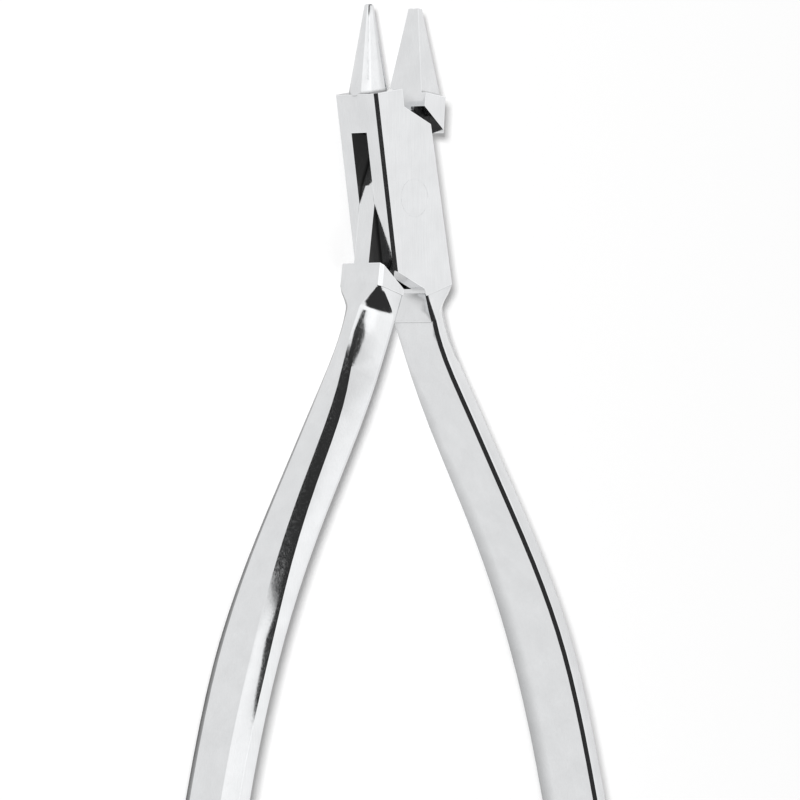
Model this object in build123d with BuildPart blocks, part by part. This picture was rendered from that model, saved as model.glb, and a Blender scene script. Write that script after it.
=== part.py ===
"""Orthodontic wire-bending pliers with a box joint: a round beak against a D-shaped beak.

Frame: the origin is on the pivot axis, on the rear face of the box. +Z runs along the pivot, from
the rear face to the front face, +Y points to the beaks and +X to the right seen from the front.
Each half is modelled closed, about the plane X = 0, and is then turned by half the rest opening.
"""
import os
from math import cos, pi

from build123d import *

# Opening between the halves in the rest pose, in degrees.
REST_OPENING = 17.0

# Box joint, in millimetres. Heights are measured along Y from the pivot.
JOINT_THICKNESS = 6.6
HALF_WIDTH_TOP = 4.2
HALF_WIDTH_BOTTOM = 4.7
EDGE_CHAMFER = 0.35
WALL_CUT_MIDDLE = 10.2
WALL_CUT_DROP = 2.7
BRIDGE_HEIGHT = 2.0
SHOULDER_GAP = 0.25
BLOCK_HEIGHT = 1.45
BLOCK_OUTER_TOP = 3.6
BLOCK_OUTER_BOTTOM = 3.9

# Slot through the box, and the tongue that turns in it.
TONGUE_THICKNESS = 2.32
SLOT_CLEARANCE = 0.04
SLOT_END_DROP = 2.3
TONGUE_HALF_WIDTH = 4.0
TONGUE_WAIST = 0.8
TONGUE_KNEE_X = 2.9
TONGUE_KNEE_Y = 5.0
TONGUE_END_GAP = 0.7
TONGUE_ROOT = 0.5

# Pivot pin, riveted into countersinks and ground flush.
PIN_RADIUS = 1.6
PIN_HEAD_RADIUS = 2.1
PIN_HEAD_DEPTH = 0.5
PIN_CLEARANCE = 0.03

# Beaks.
BEAK_LENGTH = 9.6
BEAK_GAP = 0.06
BEAK_LINE = 0.12
BEAK_SEAT = 0.5
CONE_BASE_RADIUS = 2.15
CONE_TIP_RADIUS = 0.5
CONE_TIP_CHAMFER = 0.15
D_BASE_WIDTH = 5.4
D_BASE_DEPTH = 3.4
D_BASE_ROUNDING = 0.5
D_TIP_WIDTH = 1.5
D_TIP_DEPTH = 0.8
D_TIP_ROUNDING = 0.3
D_SHORTER = 0.35

# Handles: points of the inner face's line, out from its root and down from its root.
ROOT_DROP = 0.8
ROOT_INNER = 0.25
ROOT_OVERLAP = 0.3
ROOT_INSET = 0.03
ROOT_LEAN = 0.16
END_LEAN = 0.12
INNER_LINE = [(2.3, 9.0), (7.95, 23.6), (13.9, 41.3), (17.1, 65.6), (16.3, 93.0)]
LAND_RISE = 0.1
END_ROUNDING = 3.9
NECK_SHARE = 0.035
NECK_STEPS = 6
GRIP_STEPS = 9

# Handle cross-section at the root, and in the grip from its start to the end.
GRIP_START = 42.0
NECK_WIDTH = 3.85
GRIP_WIDTH = 2.8
NECK_THICKNESS = 6.5
GRIP_THICKNESS = 8.7
NECK_OUTER_FLAT = 1.56
GRIP_OUTER_FLAT = 4.9
NECK_FRONT_FLAT = 0.35
GRIP_FRONT_FLAT = 0.15
NECK_ROOF_DROP = 1.75
GRIP_ROOF_DROP = 0.16
NECK_BACK_DEPTH = 0.5
GRIP_BACK_DEPTH = 1.05
INNER_CHAMFER = 0.36

MID = JOINT_THICKNESS / 2
JOINT_TOP = WALL_CUT_MIDDLE + BRIDGE_HEIGHT
JOINT_BOTTOM = WALL_CUT_MIDDLE + ROOT_DROP
BEAK_TIP = JOINT_TOP + BEAK_LENGTH
WALL_CUT_SIDE = WALL_CUT_MIDDLE - WALL_CUT_DROP
SLOT_THICKNESS = TONGUE_THICKNESS + 2 * SLOT_CLEARANCE
SLOT_END_SLOPE = SLOT_END_DROP / HALF_WIDTH_TOP
SLOT_REACH = 2 * JOINT_TOP
TONGUE_END = WALL_CUT_MIDDLE - TONGUE_END_GAP


def blend(start, end, share):
    return start + (end - start) * share


def shoulder(x):
    """Height of a shoulder of the inner half at a distance from the mid plane."""
    return WALL_CUT_MIDDLE + SHOULDER_GAP - x * WALL_CUT_DROP / HALF_WIDTH_TOP


def root_height(x):
    """Depth of the slanted line on which a handle leaves its block."""
    return JOINT_BOTTOM - ROOT_LEAN * (x - ROOT_INNER)


def root_section(width):
    """Corners of the section where a handle leaves its block, just inside the block's own faces."""
    face = MID - ROOT_INSET
    outer = width - ROOT_INSET
    return [
        (0, face - INNER_CHAMFER / 2),
        (INNER_CHAMFER / 2, face),
        (outer - 2 * EDGE_CHAMFER, face),
        (outer - EDGE_CHAMFER, face - ROOT_INSET),
        (outer, face - EDGE_CHAMFER),
    ]


def handle_section(depth):
    """Corners of the section at a depth below the root, in the order of root_section."""
    share = min(1, depth / GRIP_START)
    width = blend(NECK_WIDTH, GRIP_WIDTH, share)
    half = blend(NECK_THICKNESS, GRIP_THICKNESS, share) / 2
    flat = blend(NECK_FRONT_FLAT, GRIP_FRONT_FLAT, share)
    roof_end = half - blend(NECK_ROOF_DROP, GRIP_ROOF_DROP, share)
    back_depth = blend(NECK_BACK_DEPTH, GRIP_BACK_DEPTH, share)
    outer_half = blend(NECK_OUTER_FLAT, GRIP_OUTER_FLAT, share) / 2
    return [
        (0, half - INNER_CHAMFER),
        (INNER_CHAMFER, half),
        (INNER_CHAMFER + flat, half),
        (width - back_depth, roof_end),
        (width, outer_half),
    ]


def neck_section(share, depth, root_width):
    """Corners between the root and the handle, with a soft start and end and a raised land inside."""
    ease = (1 - cos(pi * share)) / 2
    pairs = zip(root_section(root_width), handle_section(depth))
    corners = [(blend(a[0], b[0], ease), blend(a[1], b[1], ease)) for a, b in pairs]
    corners[0] = (corners[0][0] - LAND_RISE, corners[0][1])
    return corners


def section_sketch(plane, front):
    rear = [(x, -z) for x, z in reversed(front)]
    with BuildSketch(plane) as sketch:
        with BuildLine():
            Polyline(*front, *rear, close=True)
        make_face()
    return sketch.sketch


def line_plane(line, side, share):
    """Section plane at a share of the inner line: x points outwards, the normal down the handle."""
    along = line % share
    return Plane(origin=line @ share, x_dir=(-side * along.Y, side * along.X, 0), z_dir=along)


def add_handle(side, block_outer):
    """Adds the neck and the grip of one handle to the half that is being built."""
    start = [(0, -ROOT_OVERLAP)]
    points = [(side * (ROOT_INNER + x), -JOINT_BOTTOM - y, MID) for x, y in start + INNER_LINE]
    with BuildLine(mode=Mode.PRIVATE) as inner:
        Spline(*points, tangents=[(side * ROOT_LEAN, -1, 0), (-side * END_LEAN, -1, 0)])
    line = inner.line
    root_width = (block_outer - ROOT_INNER) * (1 + ROOT_LEAN**2) ** 0.5
    neck = []
    for step in range(NECK_STEPS + 1):
        share = NECK_SHARE * step / NECK_STEPS
        corners = neck_section(step / NECK_STEPS, -(line @ share).Y - JOINT_BOTTOM, root_width)
        neck.append(section_sketch(line_plane(line, side, share), corners))
    grip = []
    for step in range(GRIP_STEPS + 1):
        share = blend(NECK_SHARE, 1, step / GRIP_STEPS)
        corners = handle_section(-(line @ share).Y - JOINT_BOTTOM)
        grip.append(section_sketch(line_plane(line, side, share), corners))
    loft(neck)
    loft(grip)
    # Round end of the grip, seen on its flat side.
    end = line_plane(line, side, 1)
    half = GRIP_THICKNESS / 2
    with BuildSketch(Plane(origin=end.origin, x_dir=(0, 0, 1), z_dir=end.x_dir)) as corners:
        Rectangle(4 * half, 2 * END_ROUNDING)
        for way in (-1, 1):
            with Locations((0, way * END_ROUNDING)):
                Ellipse(half, END_ROUNDING, mode=Mode.SUBTRACT)
    extrude(corners.sketch, amount=2 * GRIP_WIDTH, both=True, mode=Mode.SUBTRACT)


def long_edges(part, reach):
    """Front and rear edges that run up and down the sides of a block."""
    picked = ShapeList()
    for edge in part.edges():
        xs = [abs(vertex.X) for vertex in edge.vertices()]
        zs = [vertex.Z for vertex in edge.vertices()]
        if min(xs) > reach and max(zs) - min(zs) < EDGE_CHAMFER / 10:
            picked.append(edge)
    return picked


# Half with the box: round beak at the upper left, handle at the lower right.
with BuildPart() as box_half:
    with BuildSketch():
        with BuildLine():
            Polyline(
                (-HALF_WIDTH_TOP, JOINT_TOP),
                (0, JOINT_TOP),
                (0, WALL_CUT_MIDDLE),
                (HALF_WIDTH_TOP, WALL_CUT_SIDE),
                (HALF_WIDTH_BOTTOM, -root_height(HALF_WIDTH_BOTTOM)),
                (ROOT_INNER, -JOINT_BOTTOM),
                (0, -WALL_CUT_MIDDLE),
                (-HALF_WIDTH_TOP, -WALL_CUT_SIDE),
                close=True,
            )
        make_face()
    extrude(amount=JOINT_THICKNESS)
    chamfer(long_edges(box_half.part, HALF_WIDTH_TOP - EDGE_CHAMFER), EDGE_CHAMFER)
    add_handle(1, HALF_WIDTH_BOTTOM)
    # Slot for the tongue, closed by a bridge under the beak and by the root of the handle.
    with BuildSketch(Plane.XY.offset(MID - SLOT_THICKNESS / 2)):
        with BuildLine():
            Polyline(
                (-SLOT_REACH, WALL_CUT_MIDDLE - SLOT_END_SLOPE * SLOT_REACH),
                (0, WALL_CUT_MIDDLE),
                (SLOT_REACH, WALL_CUT_MIDDLE),
                (SLOT_REACH, -WALL_CUT_MIDDLE + SLOT_END_SLOPE * SLOT_REACH),
                (0, -WALL_CUT_MIDDLE),
                (-SLOT_REACH, -WALL_CUT_MIDDLE),
                close=True,
            )
        make_face()
    extrude(amount=SLOT_THICKNESS, mode=Mode.SUBTRACT)
    # Round beak, leaning so that its inner side lies along the mid plane.
    cone_side = BEAK_LINE - BEAK_GAP / 2
    cone_base = Vector(cone_side - CONE_BASE_RADIUS, JOINT_TOP, MID)
    cone_tip = Vector(cone_side - CONE_TIP_RADIUS, BEAK_TIP, MID)
    cone_axis = cone_tip - cone_base
    cone_normal = Vector(0, 0, 1).cross(cone_axis)
    with BuildSketch(Plane(origin=cone_base, x_dir=(0, 0, 1), z_dir=cone_normal)):
        with BuildLine():
            Polyline(
                (0, -BEAK_SEAT),
                (CONE_BASE_RADIUS, -BEAK_SEAT),
                (CONE_BASE_RADIUS, 0),
                (CONE_TIP_RADIUS, cone_axis.length - CONE_TIP_CHAMFER),
                (CONE_TIP_RADIUS - CONE_TIP_CHAMFER, cone_axis.length),
                (0, cone_axis.length),
                close=True,
            )
        make_face()
    revolve(axis=Axis(cone_base, cone_axis))
    # Pivot hole with a countersink in each wall.
    with Locations((0, 0, MID)):
        Cylinder(PIN_RADIUS, JOINT_THICKNESS, mode=Mode.SUBTRACT)
    with Locations((0, 0, PIN_HEAD_DEPTH / 2)):
        Cone(PIN_HEAD_RADIUS, PIN_RADIUS, PIN_HEAD_DEPTH, mode=Mode.SUBTRACT)
    with Locations((0, 0, JOINT_THICKNESS - PIN_HEAD_DEPTH / 2)):
        Cone(PIN_RADIUS, PIN_HEAD_RADIUS, PIN_HEAD_DEPTH, mode=Mode.SUBTRACT)

# Half with the tongue: D-shaped beak at the upper right, handle at the lower left.
d_face = BEAK_LINE + BEAK_GAP / 2
block_top = shoulder(0) + BLOCK_HEIGHT
with BuildPart() as inner_half:
    # Upper block, full thickness, with its sloping shoulder over the cut of the box.
    with BuildSketch():
        with BuildLine():
            Polyline(
                (d_face, block_top),
                (BLOCK_OUTER_TOP, block_top),
                (BLOCK_OUTER_BOTTOM, shoulder(BLOCK_OUTER_BOTTOM)),
                (d_face, shoulder(d_face)),
                close=True,
            )
        make_face()
    extrude(amount=JOINT_THICKNESS)
    # Lower block, full thickness, with the opposite shoulder.
    with BuildSketch():
        with BuildLine():
            Polyline(
                (-ROOT_INNER, -JOINT_BOTTOM),
                (-TONGUE_HALF_WIDTH, -root_height(TONGUE_HALF_WIDTH)),
                (-TONGUE_HALF_WIDTH, -shoulder(TONGUE_HALF_WIDTH)),
                (-ROOT_INNER, -shoulder(ROOT_INNER)),
                close=True,
            )
        make_face()
    extrude(amount=JOINT_THICKNESS)
    chamfer(long_edges(inner_half.part, BLOCK_OUTER_TOP - EDGE_CHAMFER), EDGE_CHAMFER)
    add_handle(-1, TONGUE_HALF_WIDTH)
    # Tongue through the slot.
    with BuildSketch(Plane.XY.offset(MID - TONGUE_THICKNESS / 2)):
        with BuildLine():
            Polyline(
                (-TONGUE_HALF_WIDTH, -shoulder(TONGUE_HALF_WIDTH) - TONGUE_ROOT),
                (-TONGUE_HALF_WIDTH, TONGUE_WAIST),
                (-TONGUE_KNEE_X, TONGUE_KNEE_Y),
                (d_face, TONGUE_END),
                (d_face, block_top),
                (BLOCK_OUTER_TOP, shoulder(BLOCK_OUTER_TOP) + TONGUE_ROOT),
                (BLOCK_OUTER_BOTTOM, shoulder(BLOCK_OUTER_BOTTOM)),
                (TONGUE_HALF_WIDTH, -TONGUE_WAIST),
                (TONGUE_KNEE_X, -TONGUE_KNEE_Y),
                (-ROOT_INNER, -TONGUE_END),
                (-ROOT_INNER, -shoulder(ROOT_INNER)),
                close=True,
            )
        make_face()
    extrude(amount=TONGUE_THICKNESS)
    # D-shaped beak: flat towards the round beak, flat front and rear, rounded back.
    sections = []
    for height, width, depth, rounding in (
        (block_top - BEAK_SEAT, D_BASE_WIDTH, D_BASE_DEPTH, D_BASE_ROUNDING),
        (BEAK_TIP - D_SHORTER, D_TIP_WIDTH, D_TIP_DEPTH, D_TIP_ROUNDING),
    ):
        plane = Plane(origin=(d_face, height, MID), x_dir=(1, 0, 0), z_dir=(0, 1, 0))
        with BuildSketch(plane) as section:
            with Locations((depth / 2, 0)):
                Rectangle(depth, width)
            fillet(section.vertices().group_by(Axis.X)[-1], rounding)
        sections.append(section.sketch)
    loft(sections, ruled=True)
    # Running hole for the pin.
    with Locations((0, 0, MID)):
        Cylinder(PIN_RADIUS + PIN_CLEARANCE, JOINT_THICKNESS, mode=Mode.SUBTRACT)

# Pivot pin, flush with both faces of the box.
with BuildPart() as pivot_pin:
    with Locations((0, 0, MID)):
        Cylinder(PIN_RADIUS, JOINT_THICKNESS)
    with Locations((0, 0, PIN_HEAD_DEPTH / 2)):
        Cone(PIN_HEAD_RADIUS, PIN_RADIUS, PIN_HEAD_DEPTH)
    with Locations((0, 0, JOINT_THICKNESS - PIN_HEAD_DEPTH / 2)):
        Cone(PIN_RADIUS, PIN_HEAD_RADIUS, PIN_HEAD_DEPTH)

os.makedirs("parts", exist_ok=True)
for name, half, turn in (
    ("box_half", box_half, REST_OPENING / 2),
    ("inner_half", inner_half, -REST_OPENING / 2),
):
    solid = half.part.rotate(Axis.Z, turn)
    solid.label = name
    export_step(solid, f"parts/{name}.step")
pivot_pin.part.label = "pivot_pin"
export_step(pivot_pin.part, "parts/pivot_pin.step")
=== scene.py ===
"""Looks of the orthodontic pliers: polished steel on a pale floor, seen as in the photograph."""
from math import cos, pi, radians, sin

import bpy
from mathutils import Matrix, Vector


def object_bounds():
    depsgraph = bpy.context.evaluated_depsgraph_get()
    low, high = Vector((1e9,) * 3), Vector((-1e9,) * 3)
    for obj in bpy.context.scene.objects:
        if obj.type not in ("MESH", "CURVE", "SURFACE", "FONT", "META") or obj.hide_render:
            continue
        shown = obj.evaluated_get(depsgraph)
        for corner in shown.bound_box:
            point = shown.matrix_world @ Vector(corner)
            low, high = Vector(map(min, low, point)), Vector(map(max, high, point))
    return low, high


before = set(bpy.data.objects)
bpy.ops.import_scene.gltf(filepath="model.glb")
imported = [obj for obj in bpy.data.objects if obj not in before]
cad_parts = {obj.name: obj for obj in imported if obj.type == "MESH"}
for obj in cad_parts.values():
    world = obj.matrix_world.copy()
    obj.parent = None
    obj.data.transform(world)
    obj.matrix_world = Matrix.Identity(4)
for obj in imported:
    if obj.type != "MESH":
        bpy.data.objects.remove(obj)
cad_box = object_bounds()
scene = bpy.context.scene
scene.view_settings.view_transform = "Standard"

# Camera: far off to the left front, with the beaks upwards. Angles in degrees, lengths in metres, and
# the lens and sensor in millimetres.
VIEW_TURN = 45.0
VIEW_ROLL = -0.4
FRAME_WIDTH = 0.0889
LENS = 400.0
SENSOR = 36.0
AIM_RIGHT = 0.00072
AIM_UP = -0.0224
JOINT_MID = Vector((0, 0, 0.0033))

# Even light of the world, and a soft key light from the left front. Levels are what a white floor shows.
WORLD_LEVEL = 0.25
KEY_TOWARDS = Vector((-0.735, 0.05, 0.68)).normalized()
KEY_DISTANCE = 3.0
KEY_SIZE = 0.25
KEY_LEVEL = 0.75

# Floor: its tone, a little glow for the camera, and the level that the steel mirrors, with painted shade
# near the object.
FLOOR_SIZE = 4.0
FLOOR_TONE = 0.9
FLOOR_GLOW = 0.115
FLOOR_MIRRORED = 0.925
CONTACT_REACH = 0.002
CONTACT_SAMPLES = 8

# Oval cards that the steel mirrors, on a plain sky. Each has its turn from -X towards +Z, its height
# above the XZ plane, half its width and half its height, all in degrees, then its rim's softness and level.
# FAR_OUT keeps a card from showing on the opposite side too.
SKY_LEVEL = 0.985
BRIGHT_CARDS = {
    "left": (32, 20, 32, 22, 0.12, 1.2),
    "above": (95, 25, 45, 40, 0.60, 1.16),
}
DARK_CARDS = {
    "low": (48, -34, 36, 36, 0.12, 0.035),
    "high": (0, 90, 48.5, 48.5, 0.01, 0.035),
    "small": (43.5, 36, 14.3, 10.5, 0.05, 0.035),
    "dim": (80, 46, 45, 17, 0.35, 0.78),
    "right": (165, 15, 35, 20, 0.30, 0.9),
}
FAR_OUT = 10

# Softened edges of the meshes, in metres, on edges sharper than an angle in degrees.
EDGE_SOFTNESS = 0.00012
EDGE_ANGLE = 24.0
EDGE_STEPS = 2
WELD_REACH = 0.000002

# Steel: its colour, and the material and roughness of each node.
STEEL_TONE = (0.77, 0.778, 0.788, 1)
FINISHES = {
    "box_half": ("polished_steel_look", 0.10),
    "inner_half": ("polished_steel_inner_look", 0.10),
    "pivot_pin": ("pin_steel_look", 0.12),
}

# Painted shade: faces in the joint's slot are painted near black and dull, standing for the deep shade in
# the slot.
# Half the slot's width and its reach from the pin, in metres, and how squarely a face lies in it.
SLOT_SHADE_TONE = (0.025, 0.025, 0.025, 1)
SLOT_HALF = 0.00125
SLOT_REACH = 0.0098
SLOT_FACING = 0.8
SLOT_ROUGHNESS = 0.35

# Fine lines along the tool, smudges and specks. Grain is per metre, and a range is the part of the noise
# that is used.
NOISE_DETAIL = 3.0
NOISE_RANGE = (0.3, 0.7)
LINE_GRAIN = (9000, 260, 9000)
LINE_SHADE = 0.025
LINE_DULL = 0.05
LINE_BUMP = 0.04
LINE_DEPTH = 0.00002
SMUDGE_GRAIN = 380.0
SMUDGE_SHADE = 0.03
SPECK_RANGE = (0.5, 0.7)
SPECK_GRAIN = 4200.0
SPECK_DULL = 0.06

# Edges made brighter, partly as wear that handling rubs and partly as painted highlight: where the rounded
# normal bends, as a cosine, and the place is open, but not within reach of the pin's axis.
WEAR_AND_HIGHLIGHT_REACH = 0.00016
WEAR_AND_HIGHLIGHT_SAMPLES = 8
WEAR_AND_HIGHLIGHT_BEND = (0.998, 0.97)
WEAR_AND_HIGHLIGHT_OPEN = (0.9, 1.0)
WEAR_AND_HIGHLIGHT_SHADE = 0.13
PIN_REACH = 0.0027

# Painted shade: inside corners are painted darker, by how open they are.
CORNER_REACH = 0.0004
CORNER_SAMPLES = 8
CORNER_OPEN = (0.7, 0.98)
CORNER_SHADE = 0.6


def place_camera():
    turn = Matrix.Rotation(radians(-VIEW_TURN), 3, "Y") @ Matrix.Rotation(radians(VIEW_ROLL), 3, "Z")
    right, up, towards = (turn @ Vector(axis) for axis in ((1, 0, 0), (0, 1, 0), (0, 0, 1)))
    camera = bpy.data.objects.new("camera", bpy.data.cameras.new("camera"))
    scene.collection.objects.link(camera)
    camera.data.lens = LENS
    camera.data.sensor_width = SENSOR
    place = JOINT_MID + right * AIM_RIGHT + up * AIM_UP + towards * LENS * FRAME_WIDTH / SENSOR
    camera.matrix_world = Matrix.Translation(place) @ Matrix((right, up, towards)).transposed().to_4x4()
    scene.camera = camera


class Graph:
    """Short names for making and joining shader nodes."""

    def __init__(self, tree):
        self.tree = tree

    def add(self, kind, settings=None, **inputs):
        node = self.tree.nodes.new(kind)
        for key, value in (settings or {}).items():
            setattr(node, key, value)
        for key, value in inputs.items():
            self.put(node, key.replace("_", " "), value)
        return node

    def put(self, node, key, value):
        """Set or link an input, given by its name, or by the letter i and its number."""
        socket = node.inputs[int(key[1:])] if key[0] == "i" and key[1:].isdigit() else node.inputs[key]
        if isinstance(value, bpy.types.NodeSocket):
            self.tree.links.new(value, socket)
        else:
            socket.default_value = value

    def math(self, operation, first, second=0.0):
        return self.add("ShaderNodeMath", {"operation": operation}, i0=first, i1=second).outputs[0]

    def dot(self, first, second):
        product = self.add("ShaderNodeVectorMath", {"operation": "DOT_PRODUCT"}, i0=first, i1=second)
        return product.outputs["Value"]

    def length(self, vector):
        return self.add("ShaderNodeVectorMath", {"operation": "LENGTH"}, i0=vector).outputs["Value"]

    def noise(self, place, grain):
        return self.add("ShaderNodeTexNoise", Vector=place, Scale=grain, Detail=NOISE_DETAIL).outputs["Fac"]

    def blend(self, share, first, second):
        """Colour that goes from first to second as share goes from 0 to 1."""
        mix = self.add("ShaderNodeMix", {"data_type": "RGBA"}, i0=share, i6=first, i7=second)
        return mix.outputs[2]

    def openness(self, reach, samples):
        """1 in the open, and less where something stands within reach."""
        return self.add("ShaderNodeAmbientOcclusion", {"samples": samples}, Distance=reach).outputs["AO"]

    def spread(self, value, span, low, high, kind="LINEAR"):
        """Value over its span, spread over low to high."""
        node = self.add("ShaderNodeMapRange", {"interpolation_type": kind}, Value=value)
        limits = {"From Min": span[0], "From Max": span[1], "To Min": low, "To Max": high}
        for key, limit in limits.items():
            self.put(node, key, limit)
        return node.outputs["Result"]


def card_level(graph, direction, turn, height, half_width, half_height, rim, level):
    """Level that one oval card gives to a mirrored direction, and 1 outside the card."""
    flat = Vector((-cos(radians(turn)), 0, sin(radians(turn))))
    middle = flat * cos(radians(height)) + Vector((0, sin(radians(height)), 0))
    side = Vector((flat.z, 0, -flat.x))
    across = graph.dot(direction, side / sin(radians(half_width)))
    along = graph.dot(direction, middle.cross(side) / sin(radians(half_height)))
    behind = graph.math("MINIMUM", graph.dot(direction, middle * FAR_OUT), 0.0)
    offset = graph.add("ShaderNodeCombineXYZ", X=across, Y=along, Z=behind).outputs[0]
    return graph.spread(graph.length(offset), (1 - rim, 1 + rim), level, 1.0, "SMOOTHSTEP")


def light_world():
    """White to the camera, the cards to mirrored rays, and an even level to all others."""
    world = bpy.data.worlds.new("studio")
    world.use_nodes = True
    scene.world = world
    graph = Graph(world.node_tree)
    background = world.node_tree.nodes["Background"]
    direction = graph.add("ShaderNodeTexCoord").outputs["Generated"]
    mirrored = SKY_LEVEL
    for card in BRIGHT_CARDS.values():
        mirrored = graph.math("MULTIPLY", mirrored, card_level(graph, direction, *card))
    shade = 1.0
    for card in DARK_CARDS.values():
        shade = graph.math("MINIMUM", shade, card_level(graph, direction, *card))
    mirrored = graph.math("MULTIPLY", mirrored, shade)
    path = graph.add("ShaderNodeLightPath")
    extra = graph.math("SUBTRACT", mirrored, WORLD_LEVEL)
    extra = graph.math("MULTIPLY", extra, path.outputs["Is Glossy Ray"])
    level = graph.math("MAXIMUM", graph.math("ADD", extra, WORLD_LEVEL), path.outputs["Is Camera Ray"])
    graph.put(background, "Color", (1, 1, 1, 1))
    graph.put(background, "Strength", level)


def light_key():
    """Key light with the power, in watts, that gives a white floor its level."""
    lamp = bpy.data.lights.new("key", "AREA")
    lamp.size = KEY_SIZE
    lamp.energy = KEY_LEVEL * (pi * KEY_DISTANCE) ** 2 / KEY_TOWARDS.z
    key = bpy.data.objects.new("key", lamp)
    scene.collection.objects.link(key)
    key.location = KEY_TOWARDS * KEY_DISTANCE
    key.rotation_euler = KEY_TOWARDS.to_track_quat("Z", "Y").to_euler()
    key.visible_glossy = False


def lay_floor():
    """Matt floor under the object, which mirrored rays see as an even glow with painted shade near the
    object.
    """
    mesh = bpy.data.meshes.new("floor")
    half = FLOOR_SIZE / 2
    low = cad_box[0].z
    corners = [(-half, -half, low), (half, -half, low), (half, half, low), (-half, half, low)]
    mesh.from_pydata(corners, [], [(0, 1, 2, 3)])
    floor = bpy.data.objects.new("floor", mesh)
    scene.collection.objects.link(floor)
    paper = bpy.data.materials.new("paper")
    paper.use_nodes = True
    graph = Graph(paper.node_tree)
    out = paper.node_tree.nodes["Material Output"]
    path = graph.add("ShaderNodeLightPath")
    matt = graph.add("ShaderNodeBsdfDiffuse", Color=(FLOOR_TONE, FLOOR_TONE, FLOOR_TONE, 1))
    lift = graph.math("MULTIPLY", path.outputs["Is Camera Ray"], FLOOR_GLOW)
    glow = graph.add("ShaderNodeEmission", Strength=lift)
    seen = graph.add("ShaderNodeAddShader", i0=matt.outputs[0], i1=glow.outputs[0])
    # Painted contact shade: the glow that mirrored rays see is darker near the object.
    mirrored = graph.math("MULTIPLY", graph.openness(CONTACT_REACH, CONTACT_SAMPLES), FLOOR_MIRRORED)
    shaded_glow = graph.add("ShaderNodeEmission", Strength=mirrored)
    both = graph.add("ShaderNodeMixShader", i0=path.outputs["Is Glossy Ray"])
    graph.put(both, "i1", seen.outputs[0])
    graph.put(both, "i2", shaded_glow.outputs[0])
    graph.put(out, "Surface", both.outputs[0])
    mesh.materials.append(paper)


def soften_edges(node):
    weld = node.modifiers.new("weld", "WELD")
    weld.merge_threshold = WELD_REACH
    bevel = node.modifiers.new("edges", "BEVEL")
    bevel.width = EDGE_SOFTNESS
    bevel.segments = EDGE_STEPS
    bevel.limit_method = "ANGLE"
    bevel.angle_limit = radians(EDGE_ANGLE)
    bevel.harden_normals = True


def slot_shade_faces(graph, coords):
    """1 on the faces inside the box joint's slot that are painted dark as shade, and 0 elsewhere."""
    spot = graph.add("ShaderNodeSeparateXYZ", Vector=coords.outputs["Object"])
    facing = graph.add("ShaderNodeSeparateXYZ", Vector=coords.outputs["Normal"]).outputs["Z"]
    depth = graph.math("ABSOLUTE", graph.math("SUBTRACT", spot.outputs["Z"], JOINT_MID.z))
    near = graph.math("LESS_THAN", depth, SLOT_HALF)
    level = graph.math("LESS_THAN", graph.math("ABSOLUTE", spot.outputs["Y"]), SLOT_REACH)
    flat = graph.math("GREATER_THAN", graph.math("ABSOLUTE", facing), SLOT_FACING)
    return graph.math("MULTIPLY", graph.math("MULTIPLY", near, level), flat)


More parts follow.
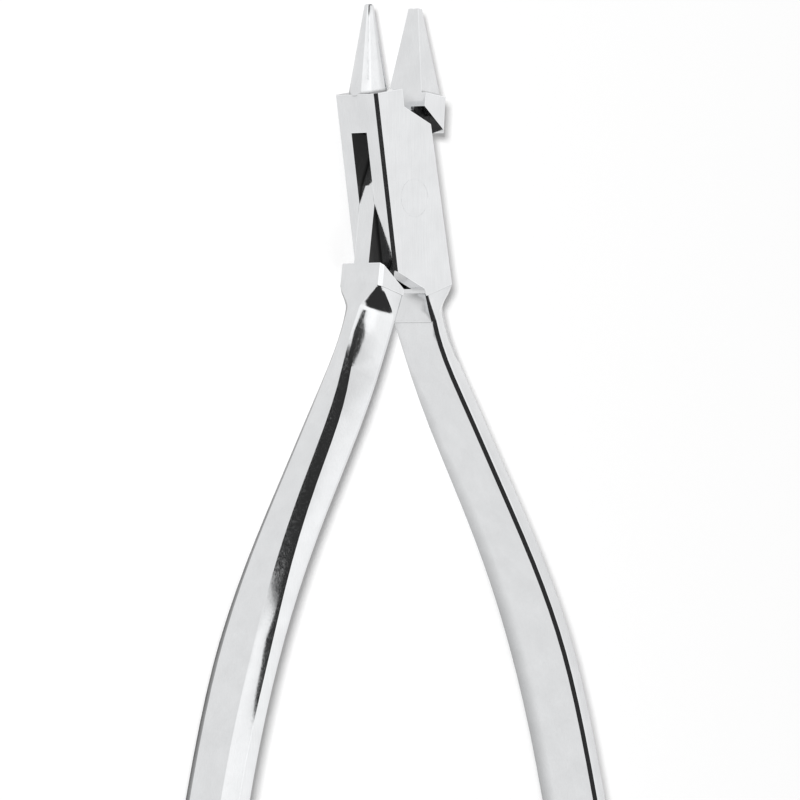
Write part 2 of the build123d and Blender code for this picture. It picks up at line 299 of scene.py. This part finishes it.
def edge_shade(graph, coords):
    """Above 0 on outer edges, as wear and painted highlight, below 0 in inside corners as painted shade,
    and 0 around the flush pin.
    """
    # Wear and painted highlight: outer edges are brightened where the rounded normal bends.
    rounded = graph.add("ShaderNodeBevel", {"samples": WEAR_AND_HIGHLIGHT_SAMPLES}, Radius=WEAR_AND_HIGHLIGHT_REACH).outputs[0]
    true = graph.add("ShaderNodeNewGeometry").outputs["Normal"]
    wear_and_highlight = graph.spread(graph.dot(rounded, true), WEAR_AND_HIGHLIGHT_BEND, 0.0, WEAR_AND_HIGHLIGHT_SHADE)
    bare = graph.openness(CORNER_REACH, CORNER_SAMPLES)
    wear_and_highlight = graph.math("MULTIPLY", wear_and_highlight, graph.spread(bare, WEAR_AND_HIGHLIGHT_OPEN, 0.0, 1.0))
    # Painted shade: inside corners get a darker colour, by how open they are.
    both = graph.math("ADD", wear_and_highlight, graph.spread(bare, CORNER_OPEN, -CORNER_SHADE, 0.0))
    across = graph.add("ShaderNodeVectorMath", {"operation": "MULTIPLY"}, i0=coords.outputs["Object"])
    graph.put(across, "i1", (1, 1, 0))
    off_pin = graph.math("GREATER_THAN", graph.length(across.outputs[0]), PIN_REACH)
    return graph.math("MULTIPLY", both, off_pin)


def steel(name, roughness):
    """Polished steel: fine lines, smudges, dull specks, edges brightened as wear and painted highlight, and
    painted shade in corners and on the slot faces.
    """
    material = bpy.data.materials.new(name)
    material.use_nodes = True
    graph = Graph(material.node_tree)
    shader = material.node_tree.nodes["Principled BSDF"]
    coords = graph.add("ShaderNodeTexCoord")
    place = coords.outputs["Object"]
    stretched = graph.add("ShaderNodeMapping", Vector=place, Scale=LINE_GRAIN).outputs[0]
    lines = graph.noise(stretched, 1.0)
    smudges = graph.noise(place, SMUDGE_GRAIN)
    specks = graph.noise(place, SPECK_GRAIN)
    # Painted shade: the slot faces are painted near black and are not metal.
    slot = slot_shade_faces(graph, coords)
    graph.put(shader, "Metallic", graph.math("SUBTRACT", 1.0, slot))
    tone = graph.blend(slot, STEEL_TONE, SLOT_SHADE_TONE)
    shade = graph.spread(lines, NOISE_RANGE, 1 - LINE_SHADE, 1 + LINE_SHADE)
    shade = graph.math("ADD", shade, graph.spread(smudges, NOISE_RANGE, -SMUDGE_SHADE, SMUDGE_SHADE))
    # Wear and painted highlight on outer edges, and painted shade in inside corners.
    shade = graph.math("ADD", shade, edge_shade(graph, coords))
    final = graph.add("ShaderNodeVectorMath", {"operation": "SCALE"}, i0=tone, Scale=shade)
    graph.put(shader, "Base Color", final.outputs[0])
    dull = graph.spread(lines, NOISE_RANGE, roughness - LINE_DULL, roughness + LINE_DULL)
    dull = graph.math("ADD", dull, graph.spread(specks, SPECK_RANGE, 0.0, SPECK_DULL))
    dull = graph.math("MAXIMUM", dull, graph.math("MULTIPLY", slot, SLOT_ROUGHNESS))
    graph.put(shader, "Roughness", dull)
    bump = graph.add("ShaderNodeBump", Strength=LINE_BUMP, Distance=LINE_DEPTH, Height=lines)
    graph.put(shader, "Normal", bump.outputs[0])
    return material


place_camera()
light_world()
light_key()
lay_floor()
for name, (look, roughness) in FINISHES.items():
    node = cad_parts[name]
    soften_edges(node)
    node.material_slots[0].material = steel(look, roughness)
